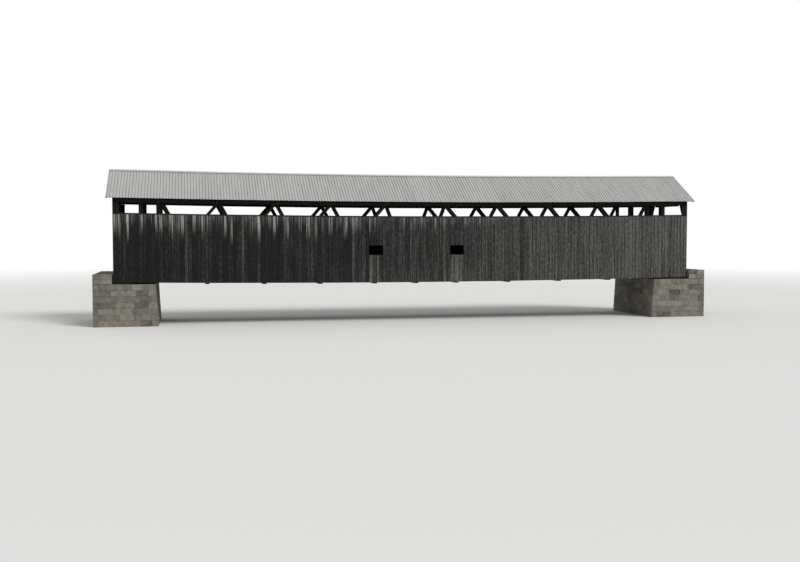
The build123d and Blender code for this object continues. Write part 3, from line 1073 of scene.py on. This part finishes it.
@dataclass
class PortalWall:
    """The boarded end round a portal: jambs, clipped corners and the gable above."""

    end: End
    board_least: float = 0.18
    board_most: float = 0.3
    gap: float = 0.006
    header_drop: float = 0.27
    header_thickness: float = 0.03
    header_inset: float = 0.03
    slack: float = 0.01
    header_lap: float = 0.05
    header_arris: float = 0.004
    # Darker tone of the portal header: painted shade inside the portal
    header_tone: float = -0.3
    clearance: float = 0.02
    joint_gap: float = 0.004
    arris: float = 0.003
    tone: float = 0.05
    tone_by_end: float = 0.1
    uneven: float = 0.06
    hidden_grime: float = 0.8
    square: float = 0.95
    end_tilt: float = 0.5

    def build(self, finishes: Finishes) -> None:
        """Make both rows of boards.

        Args:
            finishes: Finishes of the bridge.
        """
        jamb_low, jamb_high = vectors(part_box("jamb_boards"))
        corner_high = Vector(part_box("portal_corner_boards")[1])
        gable_high = Vector(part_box("gable_boards")[1])
        backwall = Vector(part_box("right_backwall")[1])
        self.inner = jamb_high.x - BOARD_THICKNESS[1]
        self.half = jamb_high.y
        self.base = jamb_low.z
        self.shoulder = jamb_high.z
        self.joint = corner_high.z
        self.ridge = gable_high.z
        corners = points("portal_corner_boards")
        self.head = min(abs(place.y) for place in corners)
        self.door = min(abs(place.y) for place in corners if place.z < self.shoulder + self.slack)
        self.over_wall = backwall.z + self.clearance
        self.beside_wall = backwall.y + self.clearance
        work = Workpiece(f"{self.end.word}_portal_boards", 41 + self.end.value)
        self._lower(work)
        self._gable(work)
        work.soften(self.arris, clamp=False)
        base = self.tone_by_end * self.end.value
        work.mark(lambda centre: base + work.rng.gauss(self.tone, self.uneven), UPRIGHT, self._grime)
        work.done(finishes.gable, Slot.BOARDS,
                  ("jamb_boards", "portal_corner_boards", "gable_boards"))
        self._header(finishes)

    def _header(self, finishes: Finishes) -> None:
        """Nail a header board across the top of the portal, on the inner face of the gable, toned darker
        as painted shade.

        Args:
            finishes: Finishes of the bridge.
        """
        work = Workpiece(f"{self.end.word}_portal_header", 51 + self.end.value)
        half = self.head - self.header_inset
        inner = self.inner - self.header_thickness
        work.block((self.inner * self.end.value, -half, self.joint - self.header_drop),
                   (inner * self.end.value, half, self.joint + self.header_lap))
        work.soften(self.header_arris)
        work.mark(lambda centre: self.header_tone)
        work.done(finishes.timber, Slot.TIMBER)

    def _grime(self, face: BMFace) -> float:
        """Grime on the worn edges, and painted shade on the inner faces.

        Args:
            face: Face of the piece.

        Returns:
            The grime, from 0 to 1.
        """
        # Inner faces get painted shade; worn edges get grime
        inner = face.normal.x * self.end.value < -FACING
        tilted = max(abs(part) for part in face.normal) < self.square
        worn = tilted and abs(face.normal.z) < self.end_tilt
        return self.hidden_grime if inner or worn else 0.0

    def _board(self, work: Workpiece, left: float, right: float, low: float, high: float
               ) -> list[BMVert]:
        """Add one board of the end wall.

        Args:
            work: Piece that it is added to.
            left: Its lower Y, with half a gap.
            right: Its higher Y, with half a gap.
            low: Height of its foot.
            high: Height of its top.

        Returns:
            Its corners.
        """
        outer = self.inner + work.rng.uniform(*BOARD_THICKNESS)
        return work.block((self.inner * self.end.value, left + self.gap / 2, low),
                          (outer * self.end.value, right - self.gap / 2, high))

    def _cut(self, work: Workpiece, verts: list[BMVert], place: Vector, out: Vector
             ) -> None:
        """Saw off what lies past a plane, and close the cut.

        Args:
            work: Piece that the board is in.
            verts: Corners of the board.
            place: Place on the plane.
            out: Direction of what is sawn off.
        """
        faces = {face for vert in verts for face in vert.link_faces}
        edges = {edge for vert in verts for edge in vert.link_edges}
        geom = sorted(verts, key=lambda v: tuple(v.co)) + list(edges) + list(faces)
        cut = bmesh.ops.bisect_plane(work.bm, geom=geom, plane_co=place, plane_no=out,
                                     clear_outer=True)
        rim = only(BMEdge, cut["geom_cut"])
        if rim:
            bmesh.ops.holes_fill(work.bm, edges=rim)

    def _lower(self, work: Workpiece) -> None:
        """Board the jambs and the clipped corners.

        Args:
            work: Piece that the boards are added to.
        """
        out = Vector((0, self.joint - self.shoulder, self.door - self.head)).normalized()
        rows = (
            (self.head, self.door, self.shoulder - self.clearance),
            (self.door, self.beside_wall, self.over_wall),
            (self.beside_wall, self.half, self.base),
        )
        for side in (-1, 1):
            for start, end, foot in rows:
                for near, far in shares(work.rng, start, end, self.board_least, self.board_most):
                    left, right = sorted((side * near, side * far))
                    verts = self._board(work, left, right, foot, self.joint - self.joint_gap)
                    if end == self.door:
                        self._cut(work, verts, Vector((0, side * self.door, self.shoulder)),
                                  Vector((0, -side * out.y, -out.z)))

    def _gable(self, work: Workpiece) -> None:
        """Board the gable up to the slopes of the roof.

        Args:
            work: Piece that the boards are added to.
        """
        boards = shares(work.rng, -self.half, self.half, self.board_least, self.board_most)
        for left, right in boards:
            verts = self._board(work, left, right, self.joint, self.ridge)
            middle = (left + right) / 2
            sides = (-1, 1) if left < 0 < right else ((1,) if middle > 0 else (-1,))
            for side in sides:
                self._cut(work, self._linked(verts), Vector((0, 0, self.ridge)),
                          Vector((0, side * math.sin(ROOF_PITCH), math.cos(ROOF_PITCH))))

    def _linked(self, verts: list[BMVert]) -> list[BMVert]:
        """All the corners of the board that the first valid corner belongs to.

        Args:
            verts: Corners that the board began with.

        Returns:
            The corners that it has now.
        """
        found = [next(vert for vert in verts if vert.is_valid)]
        for vert in found:
            for edge in vert.link_edges:
                other = edge.other_vert(vert)
                if other not in found:
                    found.append(other)
        return found


@dataclass
class TimberFrame:
    """The trusses, floor and roof framing: the frame's own timbers with worn edges and grain."""

    arris: float = 0.006
    flat: float = math.radians(0.1)
    pieces: tuple[str, ...] = (
        "lower_chord", "upper_chord", "compression_braces", "tension_braces", "end_posts",
        "wall_plate", "rafters", "purlins", "girts", "girt_blocks",
    )
    shared: tuple[str, ...] = (
        "bed_timbers", "floor_beams", "stringers", "lower_laterals", "tie_beams",
        "upper_laterals", "upper_lateral_halves", "portal_posts", "portal_knees",
    )
    # Timbers under the eave and inside the trusses are toned darker: painted shade
    sooty: tuple[str, ...] = ("upper_chord", "wall_plate", "braces", "end_posts", "portal")
    sooty_tone: float = -0.4
    uneven: float = 0.1

    def build(self, finishes: Finishes) -> None:
        """Dress every timber of the frame.

        Args:
            finishes: Finishes of the bridge.
        """
        names = [f"{side.word}_{piece}" for side in Side for piece in self.pieces]
        for seed, name in enumerate(names + list(self.shared), start=100):
            work = Workpiece(f"dressed_{name}", seed)
            work.take(name)
            bmesh.ops.dissolve_limit(work.bm, angle_limit=self.flat, verts=work.bm.verts,
                                     edges=work.bm.edges)
            work.soften(self.arris, clamp=False)
            base = self.sooty_tone if any(piece in name for piece in self.sooty) else 0.0
            work.mark(lambda centre: base + work.rng.gauss(0.0, self.uneven))
            work.done(finishes.timber, Slot.TIMBER, (name,))


@dataclass
class TrussBolts:
    """Bolts with square washers through the chords at every joint of the trusses."""

    span: Span
    centre_panel: float = 3.8
    panel: float = 3.4
    panels_a_side: int = 4
    washer: float = 0.09
    washer_thickness: float = 0.008
    nut_radius: float = 0.026
    nut_depth: float = 0.024
    spread: float = 0.14
    stagger: float = 0.3
    foot_shift: float = 0.71

    def build(self, finishes: Finishes) -> None:
        """Bolt the four chords.

        Args:
            finishes: Finishes of the bridge.
        """
        tops = [self.centre_panel / 2 + self.panel * i for i in range(self.panels_a_side + 1)]
        feet = [0.0] + [top + self.foot_shift for top in tops]
        for side in Side:
            work = Workpiece(f"{side.word}_truss_bolts", 61 + side.value)
            for chord, places in (("upper_chord", tops), ("lower_chord", feet)):
                low, high = vectors(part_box(f"{side.word}_{chord}"))
                middle = low.z + (high.z - low.z - self.span.lift(high.x)) / 2
                for x in sorted({end * place for place in places for end in (-1, 1)}):
                    for face, out in ((low.y, -1), (high.y, 1)):
                        for shift in (-self.spread, self.spread):
                            place = Vector((x + shift, face,
                                            middle + self.span.lift(x) + shift * self.stagger))
                            self._bolt(work, place, out)
            work.mark(lambda centre: 0.0)
            work.done(finishes.iron, Slot.METAL)

    def _bolt(self, work: Workpiece, place: Vector, out: int) -> None:
        """Add a washer and a nut on a face that looks along Y.

        Args:
            work: Piece that it is added to.
            place: Its place on the face.
            out: Sign of the face's direction.
        """
        half = self.washer / 2
        top = place.y + out * self.washer_thickness
        work.block((place.x - half, place.y, place.z - half), (place.x + half, top, place.z + half))
        nut = Vector((place.x, top + out * self.nut_depth / 2, place.z))
        work.stud(nut, Matrix.Rotation(math.radians(90), 4, "X"), self.nut_radius, 1.0,
                  self.nut_depth)


@dataclass
class PlankDeck:
    """The roadway of planks laid across the stringers."""

    span: Span
    plank_least: float = 0.2
    plank_most: float = 0.29
    gap: float = 0.008
    ragged: float = 0.02
    wear: float = 0.005
    arris: float = 0.004
    uneven: float = 0.1

    def build(self, finishes: Finishes) -> None:
        """Lay the planks.

        Args:
            finishes: Finishes of the bridge.
        """
        low, high = vectors(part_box("deck"))
        thickness = high.z - low.z - self.span.lift(high.x)
        work = Workpiece("roadway_planks", 71)
        for left, right in shares(work.rng, low.x, high.x, self.plank_least, self.plank_most):
            foot = low.z + self.span.lift((left + right) / 2)
            short = work.rng.uniform(0.0, self.ragged)
            work.block((left + self.gap / 2, low.y + short, foot),
                       (right - self.gap / 2, high.y - short,
                        foot + thickness - work.rng.uniform(0.0, self.wear)))
        work.soften(self.arris)
        work.mark(lambda centre: work.rng.gauss(0.0, self.uneven), Vector((0, 1, 0)))
        work.done(finishes.planks, Slot.PLANKS, ("deck",))


@dataclass
class SheetRoof:
    """One slope of the roof, covered with ribbed steel sheets that lap at a rib."""

    side: Side
    span: Span
    sheets: int = 42
    ribs_a_sheet: int = 5
    rib_height: float = 0.02
    rib_foot: float = 0.066
    rib_top: float = 0.018
    # Width of the pan strip beside each rib that gets dirt and painted shade
    stain: float = 0.014
    shade: float = 0.27
    shade_grime: float = 0.75
    ridge_gap: float = 0.012
    wave: float = 0.0015
    bedding: float = 0.012
    gauge: float = 0.0015
    steps_down: int = 5
    purlin_rows: int = 6
    side_lap: float = 0.004
    ragged: float = 0.012
    tone: float = 0.05
    uneven: float = 0.04
    screw_radius: float = 0.011
    screw_taper: float = 0.5
    screw_height: float = 0.008
    screw_tone: float = -0.2
    first_screw: float = 0.2
    last_screw: float = 0.08

    def build(self, finishes: Finishes) -> None:
        """Lay the sheets and drive their screws.

        Args:
            finishes: Finishes of the bridge.
        """
        name = f"{self.side.word}_roof_sheet"
        low, high = vectors(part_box(name))
        self.half = high.x
        thickness = self.bedding + self.rib_height
        self.run = (abs(low.y - high.y) - thickness * math.sin(ROOF_PITCH)) / math.cos(ROOF_PITCH)
        self.ridge = high.z - self.rib_height - self.bedding / math.cos(ROOF_PITCH)
        self.ridge -= self.span.lift(high.x)
        self.width = 2 * self.half / self.sheets
        self.rib_pitch = self.width / self.ribs_a_sheet
        work = Workpiece(f"{self.side.word}_roof_sheets", 81 + self.side.value)
        for i in range(self.sheets):
            self._sheet(work, -self.half + self.width * i, i % 2)
        bmesh.ops.recalc_face_normals(work.bm, faces=work.bm.faces)
        work.mark(lambda centre: work.rng.gauss(self.tone, self.uneven), grime_of=self._grime)
        work.done(finishes.sheet, Slot.METAL, (name,))
        self._screws(finishes)

    def _seat(self, x: float, down: float, height: float) -> Vector:
        """Place on the slope.

        Args:
            x: Place along the bridge.
            down: Distance down the slope from the ridge.
            height: Height above the purlins, square to the slope.

        Returns:
            The place in the frame.
        """
        side = self.side.value
        y = side * (down * math.cos(ROOF_PITCH) + height * math.sin(ROOF_PITCH))
        z = self.ridge - down * math.sin(ROOF_PITCH) + height * math.cos(ROOF_PITCH)
        return Vector((x, y, z + self.span.lift(x)))

    def _grime(self, face: BMFace) -> float:
        """Painted shade in a band under the ridge cap, and dirt with painted shade on the left flank of
        each rib and beside it.

        Args:
            face: Face of the piece.

        Returns:
            The grime, from 0 to 1.
        """
        place = face.calc_center_median()
        # A band of painted shade just below the ridge cap
        if self.ridge + self.span.lift(place.x) - place.z < self.shade * math.sin(ROOF_PITCH) / 2:
            return self.shade_grime
        # The left flank of each rib and the pan strip beside it: painted shade with some dirt
        along = (place.x + self.half) % self.rib_pitch - self.rib_pitch / 2
        return 1.0 if -self.rib_foot / 2 - self.stain < along < -self.rib_top / 2 else 0.0

    def _sheet(self, work: Workpiece, start: float, over: int) -> None:
        """Roll one sheet: a profile of ribs and pans, drawn down the slope and given its gauge.

        Args:
            work: Piece that it is added to.
            start: Its left side along the bridge.
            over: 1 if it laps over its neighbours, 0 if it lies under them.
        """
        rng = work.rng
        half_foot, half_top = self.rib_foot / 2, self.rib_top / 2
        level = self.bedding - self.gauge * (2 - over)
        edge = half_foot + self.side_lap
        profile: list[Pair] = [(start - edge * over, level)]
        for i in range(self.ribs_a_sheet):
            middle = start + self.rib_pitch * (i + 0.5)
            profile += [
                (middle - half_foot - self.stain, level), (middle - half_foot, level),
                (middle - half_top, level + self.rib_height),
                (middle + half_top, level + self.rib_height), (middle + half_foot, level),
            ]
        profile.append((start + self.width + edge * over, level))
        eave = self.run - rng.uniform(0.0, self.ragged)
        downs = [self.ridge_gap] + [self.shade + (eave - self.shade) * i / self.steps_down
                                    for i in range(self.steps_down + 1)]
        swells = [0.0] + [rng.uniform(-self.wave, 0.0) for _ in downs[1:]]
        work.sweep([[self._seat(x, down, height + swell) for x, height in profile]
                    for down, swell in zip(downs, swells)], self.gauge)

    def _screws(self, finishes: Finishes) -> None:
        """Drive a screw through every other rib at each purlin.

        Args:
            finishes: Finishes of the bridge.
        """
        work = Workpiece(f"{self.side.word}_roof_screws", 91 + self.side.value)
        lean = Matrix.Rotation(ROOF_PITCH * -self.side.value, 4, "X")
        for i in range(0, self.sheets * self.ribs_a_sheet, 2):
            x = -self.half + self.rib_pitch * (i + 0.5)
            for row in range(self.purlin_rows):
                reach = self.run - self.first_screw - self.last_screw
                down = self.first_screw + reach * row / (self.purlin_rows - 1)
                spot = self._seat(x, down, self.bedding + self.rib_height)
                work.stud(spot, lean, self.screw_radius, self.screw_taper, self.screw_height)
        work.mark(lambda centre: self.screw_tone)
        work.done(finishes.iron, Slot.METAL)


@dataclass
class RidgeCap:
    """Folded steel over the ridge, in lengths that lap."""

    span: Span
    leg: float = 0.168
    length: float = 3.05
    lap: float = 0.1
    gauge: float = 0.0015
    hem: float = 0.03
    roll: float = 0.02
    clearance: float = 0.002
    lap_rise: float = 1.2
    tone: float = 0.85
    uneven: float = 0.05

    def build(self, finishes: Finishes) -> None:
        """Fold the lengths and lay them from end to end.

        Args:
            finishes: Finishes of the bridge.
        """
        low, high = vectors(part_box("ridge_cap"))
        top = high.z - self.span.lift(high.x) - self.clearance
        work = Workpiece("ridge_cap_lengths", 96)
        count = math.ceil((high.x - low.x) / self.length)
        step = (high.x - low.x) / count
        across = self.leg * math.cos(ROOF_PITCH)
        drop = self.leg * math.sin(ROOF_PITCH)
        for i in range(count):
            start = low.x + step * i
            end = min(high.x, start + step + self.lap)
            rise = -self.gauge * self.lap_rise * (i % 2)
            fold = [(-across, -drop - self.hem), (-across, -drop), (-self.roll, -self.roll * 0.5),
                    (0.0, 0.0), (self.roll, -self.roll * 0.5), (across, -drop),
                    (across, -drop - self.hem)]
            work.sweep([[Vector((x, y, top + z + rise)) for y, z in fold]
                        for x in (start, start + (end - start) / 2, end)], self.gauge)
        self.span.bend(work.bm.verts)
        bmesh.ops.recalc_face_normals(work.bm, faces=work.bm.faces)
        # The hems are darkened: a painted shadow line under the cap's edges
        work.mark(lambda centre: work.rng.gauss(self.tone, self.uneven),
                  grime_of=lambda face: 1.0 if abs(face.calc_center_median().y) > across else 0.0)
        work.done(finishes.sheet, Slot.METAL, ("ridge_cap",))


@dataclass
class StoneAbutment:
    """An abutment with its backwall and wings, faced with split blocks laid in courses."""

    end: End
    course: float = 0.36
    block_least: float = 0.5
    block_most: float = 1.05
    bed: float = 0.36
    joint: float = 0.014
    relief: float = 0.03
    mortar_depth: float = 0.02
    batter: float = 0.15
    batter_fade: float = 1.2
    bed_shares: Pair = (0.85, 1.25)
    bed_most: float = 1.6
    relief_share: float = 0.55
    edge_chip: Pair = (0.4, 0.8)
    uneven: float = 0.14

    def build(self, finishes: Finishes) -> None:
        """Lay the mortar core and the blocks on it.

        Args:
            finishes: Finishes of the bridge.
        """
        names = [f"{self.end.word}_{part}" for part in ("abutment", "backwall", "wing_walls")]
        work = Workpiece(f"{self.end.word}_stone_blocks", 131 + self.end.value)
        core = Workpiece(f"{self.end.word}_mortar_core", 141)
        core.take(*names)
        self._shrink(core)
        core.mark(lambda centre: 0.0)
        core.done(finishes.mortar, Slot.STONE)
        low, high = vectors(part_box(names[0]))
        inner, outer = self._along(low, high)
        self.height = high.z
        self.front = inner + self.batter
        self._mass(work, self.front, outer, low.y, high.y, 0.0, high.z)
        self._lean(work)
        wall_low, wall_high = vectors(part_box(names[1]))
        self._mass(work, *self._along(wall_low, wall_high), wall_low.y, wall_high.y, wall_low.z,
                   wall_high.z)
        wing_low, wing_high = vectors(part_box(names[2]))
        for start, stop in ((wing_low.y, wall_low.y), (wall_high.y, wing_high.y)):
            self._mass(work, *self._along(wing_low, wing_high), start, stop, wing_low.z, wing_high.z)
        if self.end is End.LEFT:
            bmesh.ops.scale(work.bm, vec=(-1, 1, 1), verts=work.bm.verts)
            bmesh.ops.recalc_face_normals(work.bm, faces=work.bm.faces)
        work.mark(lambda centre: work.rng.gauss(0.0, self.uneven))
        work.done(finishes.stone, Slot.STONE, names)

    def _along(self, low: Vector, high: Vector) -> list[float]:
        """Nearest and farthest place of a box from mid span."""
        return sorted((abs(low.x), abs(high.x)))

    def _shrink(self, core: Workpiece) -> None:
        """Draw the mortar back from the faces of the stone.

        Args:
            core: The mortar core.
        """
        for island in core.islands():
            verts = {vert for face in island for vert in face.verts}
            lows = [min(v.co[i] for v in verts) for i in range(3)]
            highs = [max(v.co[i] for v in verts) for i in range(3)]
            for vert in verts:
                for i in range(3):
                    middle = (lows[i] + highs[i]) / 2
                    reach = (highs[i] - lows[i]) / 2
                    vert.co[i] = middle + (vert.co[i] - middle) * (reach - self.mortar_depth) / reach

    def _mass(self, work: Workpiece, x0: float, x1: float, y0: float, y1: float, z0: float, z1: float
              ) -> None:
        """Face a rectangular mass of masonry with courses of blocks.

        Args:
            work: Piece that the blocks are added to.
            x0: Its nearest place to mid span.
            x1: Its farthest.
            y0: Its lowest Y.
            y1: Its highest Y.
            z0: Its foot.
            z1: Its top.
        """
        courses = max(1, round((z1 - z0) / self.course))
        rise = (z1 - z0) / courses
        for i in range(courses):
            low, high = z0 + rise * i, z0 + rise * (i + 1)
            bed = self.bed * self.bed_shares[i % 2]
            if i == courses - 1 or y1 - y0 < 2 * bed or x1 - x0 < 2 * bed:
                for a, b in shares(work.rng, x0, x1, self.bed, self.bed * self.bed_most):
                    self._row(work, a, b, y0, y1, low, high, across=True)
                continue
            self._row(work, x0, x0 + bed, y0, y1, low, high, across=True)
            self._row(work, x1 - bed, x1, y0, y1, low, high, across=True)
            self._row(work, x0 + bed, x1 - bed, y0, y0 + bed, low, high, across=False)
            self._row(work, x0 + bed, x1 - bed, y1 - bed, y1, low, high, across=False)

    def _row(self, work: Workpiece, x0: float, x1: float, y0: float, y1: float, z0: float,
             z1: float, across: bool) -> None:
        """Lay one row of blocks, across the bridge or along it.

        Args:
            work: Piece that the blocks are added to.
            x0: Its nearest place to mid span.
            x1: Its farthest.
            y0: Its lowest Y.
            y1: Its highest Y.
            z0: Its foot.
            z1: Its top.
            across: Whether it runs across the bridge.
        """
        start, end = (y0, y1) if across else (x0, x1)
        gap = self.joint / 2
        for a, b in shares(work.rng, start, end, self.block_least, self.block_most):
            low = (x0 + gap, a + gap, z0 + gap) if across else (a + gap, y0 + gap, z0 + gap)
            high = (x1 - gap, b - gap, z1 - gap) if across else (b - gap, y1 - gap, z1 - gap)
            self._stone(work, low, high)

    def _stone(self, work: Workpiece, low: Sequence[float], high: Sequence[float]) -> None:
        """Split one block: chamfered, with faces that rise and fall.

        Args:
            work: Piece that it is added to.
            low: Its lowest corner.
            high: Its highest corner.
        """
        verts = work.block(low, high)
        edges = list({edge for vert in verts for edge in vert.link_edges})
        edges.sort(key=lambda e: tuple((e.verts[0].co + e.verts[1].co) / 2))
        cut = bmesh.ops.subdivide_edges(work.bm, edges=edges, cuts=2, use_grid_fill=True)
        found = {vert for vert in only(BMVert, cut["geom_inner"] + cut["geom_split"] + verts)
                 if vert.is_valid}
        inset = self.relief * self.relief_share
        centre = (Vector(low) + Vector(high)) / 2
        for vert in sorted(found, key=lambda v: tuple(v.co)):
            sides = [i for i in range(3)
                     if min(abs(vert.co[i] - low[i]), abs(vert.co[i] - high[i])) < 0.001]
            for i in sides:
                inward = 1 if vert.co[i] < centre[i] else -1
                least, most = (0.0, 1.0) if len(sides) == 1 else self.edge_chip
                vert.co[i] += inward * work.rng.uniform(least, most) * inset

    def _lean(self, work: Workpiece) -> None:
        """Lean the river face back by the batter, fading out along the sides."""
        for vert in work.bm.verts:
            share = max(0.0, 1 - max(0.0, vert.co.x - self.front) / self.batter_fade)
            vert.co.x -= self.batter * (1 - vert.co.z / self.height) * share


@dataclass
class Studio:
    """Pale floor, white surround, soft light and the camera at the photograph's angle."""

    lens: float = 45.10
    sensor_width: float = 36.0
    sight: float = 2000.0
    camera_place: Triple = (-13.7068, -63.6474, 5.4069)
    yaw: float = 11.7366
    pitch: float = 2.6584
    roll: float = 0.03
    floor_size: float = 900.0
    floor_colour: str = "#dededc"
    fade_start: float = 38.0
    fade_end: float = 120.0
    sky_strength: float = 0.55
    sun_strength: float = 2.1
    sun_angle: float = 25.0
    sun_tilt: float = 48.0
    sun_turn: float = 40.0

    def build(self) -> None:
        """Set up the floor, the lights and the camera."""
        self._floor()
        self._sky()
        self._sun()
        self._camera()
        bpy.context.scene.view_settings.view_transform = "Standard"

    def _floor(self) -> None:
        """Lay a floor that fades to white far from the bridge."""
        bm = bmesh.new()
        bmesh.ops.create_grid(bm, x_segments=1, y_segments=1, size=self.floor_size / 2)
        material, tree = new_material("pale_floor")
        reach = add_node(tree, "ShaderNodeVectorMath", {0: object_place(tree)}, operation="LENGTH")
        fade = ramp(tree, reach.outputs["Value"], self.fade_start, self.fade_end, smooth=True)
        ray = add_node(tree, "ShaderNodeLightPath").outputs["Is Camera Ray"]
        share = combine(tree, "MULTIPLY", fade, ray)
        matt = add_node(tree, "ShaderNodeBsdfDiffuse", {"Color": linear(self.floor_colour)})
        white = add_node(tree, "ShaderNodeEmission", {"Color": linear("#ffffff"), "Strength": 1.0})
        mix = add_node(tree, "ShaderNodeMixShader", {
            0: share, 1: matt.outputs["BSDF"], 2: white.outputs["Emission"],
        })
        add_node(tree, "ShaderNodeOutputMaterial", {"Surface": mix.outputs["Shader"]})
        floor = mesh_object("floor", bm, material)

    def _sky(self) -> None:
        """Light from all round, seen as plain white."""
        world = bpy.data.worlds.new("studio")
        world.use_nodes = True
        tree = world.node_tree
        tree.nodes.clear()
        rays = add_node(tree, "ShaderNodeLightPath")
        seen = rays.outputs["Is Camera Ray"]
        for name in ("Is Glossy Ray", "Is Transmission Ray"):
            seen = combine(tree, "MAXIMUM", seen, rays.outputs[name])
        strength = ramp(tree, seen, 0.0, 1.0, self.sky_strength)
        sky = add_node(tree, "ShaderNodeBackground", {"Color": linear("#ffffff"), "Strength": strength})
        add_node(tree, "ShaderNodeOutputWorld", {"Surface": sky.outputs["Background"]})
        bpy.context.scene.world = world

    def _sun(self) -> None:
        """Add one broad lamp from the front, high on the right."""
        lamp = bpy.data.lights.new("key", "SUN")
        lamp.energy = self.sun_strength
        lamp.angle = math.radians(self.sun_angle)
        key = add_object("key", lamp)
        key.rotation_euler = (math.radians(self.sun_tilt), 0.0, math.radians(self.sun_turn))

    def _camera(self) -> None:
        """Stand the camera where the photograph was taken."""
        data = bpy.data.cameras.new("camera")
        data.sensor_fit = "HORIZONTAL"
        data.sensor_width = self.sensor_width
        data.lens = self.lens
        data.clip_end = self.sight
        camera = add_object("camera", data)
        camera.location = self.camera_place
        camera.rotation_euler = (
            math.radians(90 - self.pitch), math.radians(self.roll), math.radians(-self.yaw)
        )
        bpy.context.scene.camera = camera


def main() -> None:
    """Build every part of the bridge and its studio, and note the sizes."""
    logging.basicConfig(level=logging.INFO, format="%(name)s %(message)s")
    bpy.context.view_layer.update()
    span = Span()
    low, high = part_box("near_siding")
    rise = span.lift(high[0])
    finishes = Finishes.mixed(low[2], high[2] - rise, rise / high[0] ** 2)
    for side in Side:
        BoardWall(side, span).build(finishes)
        SheetRoof(side, span).build(finishes)
    for end in End:
        PortalWall(end).build(finishes)
        StoneAbutment(end).build(finishes)
    RidgeCap(span).build(finishes)
    TimberFrame().build(finishes)
    TrussBolts(span).build(finishes)
    PlankDeck(span).build(finishes)
    Studio().build()


if __name__ == "__main__":
    main()
